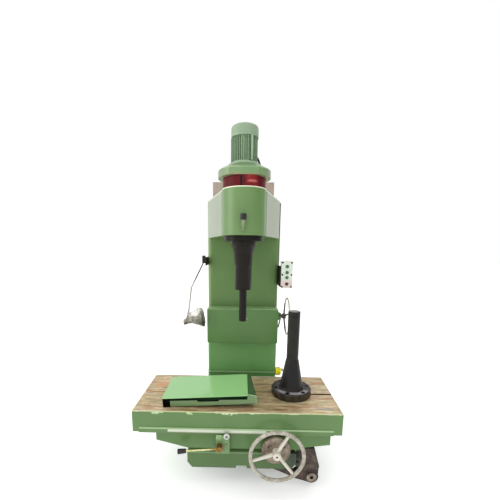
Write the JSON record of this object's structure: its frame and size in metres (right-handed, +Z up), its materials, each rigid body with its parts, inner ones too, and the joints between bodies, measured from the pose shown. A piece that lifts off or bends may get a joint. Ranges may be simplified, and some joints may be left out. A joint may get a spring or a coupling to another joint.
{
  "type": "cylinder boring machine",
  "caption": "Single-column vertical cylinder boring machine with a long T-slotted table, a sliding spindle head, handwheels, a lamp, and a spare boring bar and sheet cover on the table.",
  "frame": {"origin": "on the floor, straight under the axis of the boring bar", "axes": "+X to the operator's right along the table, +Y from the operator to the column, +Z up"},
  "size_m": [1.2, 1.2508, 2.121],
  "materials": {
    "green_paint": "semi-gloss machine enamel",
    "pale_green_paint": "satin enamel, greyish",
    "way_grease": "greased",
    "black_iron": "oiled black",
    "dark_iron": "dirty dark brown-grey",
    "rusty_plate": "light rust",
    "cream_metal": "worn cream",
    "bright_steel": "bright",
    "brass_rod": "stained",
    "black_plastic": "black",
    "red_paint": "gloss red",
    "yellow_plastic": "yellow",
    "station_shell": "light grey",
    "button_green": "dark green",
    "button_red": "red",
    "cable_rubber": "black sheath",
    "lamp_metal": "dull, film-wrapped",
    "bright_rail": "light grey"
  },
  "bodies": {
    "machine": {"base_plinth": "green_paint", "apron": "green_paint", "bed": "green_paint", "trip_block": "green_paint", "trip_roller": "bright_steel", "dial_plate": "rusty_plate", "drive_guard": "dark_iron", "column_foot": "green_paint", "column": "green_paint", "feed_gearbox": "green_paint", "way_posts": "way_grease", "side_boss": "green_paint", "side_plug": "yellow_plastic", "station_bracket": "dark_iron", "station_box": "station_shell", "lamp_bracket": "dark_iron"},
    "table": {"table": "green_paint", "dog_rail": "bright_rail", "spare_bar": "black_iron", "cover_plate": "green_paint", "cover_channel": "green_paint", "cover_end": "black_plastic"},
    "head": {"head_housing": "green_paint", "head_side_panels": "pale_green_paint", "belt_drum": "red_paint", "head_hood": "green_paint", "motor_flange": "green_paint", "motor_body": "green_paint", "fan_cowl": "pale_green_paint", "motor_cable": "cable_rubber", "spindle_sleeve": "black_iron"},
    "bar": {"boring_bar": "black_iron"},
    "shift_lever": {"shift_lever": "bright_steel", "shift_knob": "black_plastic"},
    "front_wheel": {"front_handwheel": "cream_metal"},
    "side_wheel": {"side_handwheel": "cream_metal"},
    "clamp_lever": {"clamp_lever": "brass_rod", "lever_grip": "black_plastic"},
    "lamp_lower": {"lamp_arm_lower": "dark_iron"},
    "lamp_upper": {"lamp_arm_upper": "dark_iron"},
    "lamp_head": {"lamp_shade": "lamp_metal"},
    "button_1": {"button_1": "button_green"},
    "button_2": {"button_2": "button_green"},
    "button_3": {"button_3": "button_green"},
    "button_4": {"button_4": "button_red"}
  },
  "joints": [
    {"name": "table_slide", "type": "slide", "parent": "machine", "child": "table", "axis": [1, 0, 0], "range_m": [-0.4, 0.4]},
    {"name": "head_slide", "type": "slide", "parent": "machine", "child": "head", "axis": [0, 0, 1], "range_m": [-0.35, 0.15]},
    {"name": "bar_spin", "type": "hinge", "parent": "head", "child": "bar", "pos_m": [0, 0, 1.1], "axis": [0, 0, 1], "continuous": true},
    {"name": "shift_lever_swing", "type": "hinge", "parent": "head", "child": "shift_lever", "pos_m": [-0.003, -0.193, 1.524], "axis": [0, 1, 0], "range_deg": [-40, 40]},
    {"name": "front_wheel_spin", "type": "hinge", "parent": "machine", "child": "front_wheel", "pos_m": [0.201, -0.4, 0.282], "axis": [0, 1, 0], "continuous": true},
    {"name": "side_wheel_spin", "type": "hinge", "parent": "machine", "child": "side_wheel", "pos_m": [0.332, 0.312, 0.927], "axis": [1, 0, 0], "continuous": true},
    {"name": "clamp_lever_swing", "type": "hinge", "parent": "machine", "child": "clamp_lever", "pos_m": [-0.124, -0.3725, 0.3035], "axis": [0, 1, 0], "range_deg": [-35, 30]},
    {"name": "lamp_base_tilt", "type": "hinge", "parent": "machine", "child": "lamp_lower", "pos_m": [-0.279, 0.26, 1.333], "axis": [0, 1, 0], "range_deg": [0, 75]},
    {"name": "lamp_elbow", "type": "hinge", "parent": "lamp_lower", "child": "lamp_upper", "pos_m": [-0.376, 0.26, 1.138], "axis": [0, 1, 0], "range_deg": [0, 90]},
    {"name": "lamp_head_tilt", "type": "hinge", "parent": "lamp_upper", "child": "lamp_head", "pos_m": [-0.401, 0.26, 0.948], "axis": [0, 1, 0], "range_deg": [-5, 70]},
    {"name": "button_1_press", "type": "slide", "parent": "machine", "child": "button_1", "axis": [0, 1, 0], "range_m": [0, 0.004], "stiffness_N_per_m": 500, "springref_m": -0.003},
    {"name": "button_2_press", "type": "slide", "parent": "machine", "child": "button_2", "axis": [0, 1, 0], "range_m": [0, 0.004], "stiffness_N_per_m": 500, "springref_m": -0.003},
    {"name": "button_3_press", "type": "slide", "parent": "machine", "child": "button_3", "axis": [0, 1, 0], "range_m": [0, 0.004], "stiffness_N_per_m": 500, "springref_m": -0.003},
    {"name": "button_4_press", "type": "slide", "parent": "machine", "child": "button_4", "axis": [0, 1, 0], "range_m": [0, 0.004], "stiffness_N_per_m": 500, "springref_m": -0.003}
  ],
  "couplings": [
    {"joint": "front_wheel_spin", "follows": "table_slide", "rad_per_m": 62.832},
    {"joint": "side_wheel_spin", "follows": "head_slide", "rad_per_m": -62.832}
  ]
}
